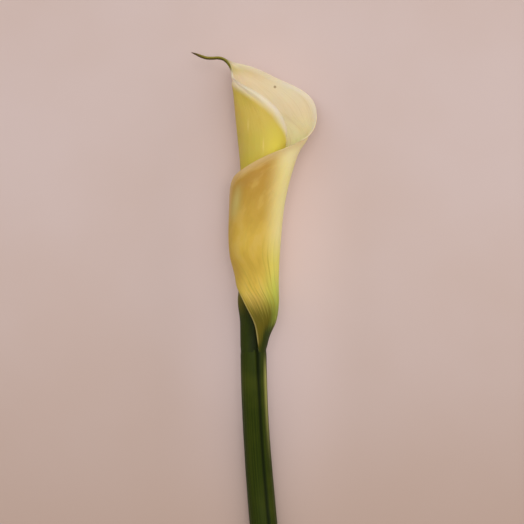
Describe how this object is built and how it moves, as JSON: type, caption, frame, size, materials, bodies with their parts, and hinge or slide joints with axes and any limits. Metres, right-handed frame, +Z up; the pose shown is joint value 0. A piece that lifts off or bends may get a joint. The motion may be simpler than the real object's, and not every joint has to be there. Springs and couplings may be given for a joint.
{
  "type": "cut calla lily",
  "caption": "Cut calla lily lying down: a rolled pale yellow funnel-shaped spathe with a thin curling tail, round a yellow spadix, on a thick smooth green stem.",
  "frame": {"origin": "on the surface the flower lies on, under the middle of its box", "axes": "+Y along the flower from the cut end of the stem to the spathe's tip, +Z up off the surface, +X to the open side of the mouth"},
  "size_m": [0.0676, 0.4018, 0.0351],
  "materials": {
    "stem": "satin green stem skin",
    "spathe": "waxy cream-yellow petal",
    "spadix": "fine matte florets"
  },
  "bodies": {
    "root": {"stem": "stem", "spathe": "spathe", "spadix": "spadix"}
  },
  "joints": []
}
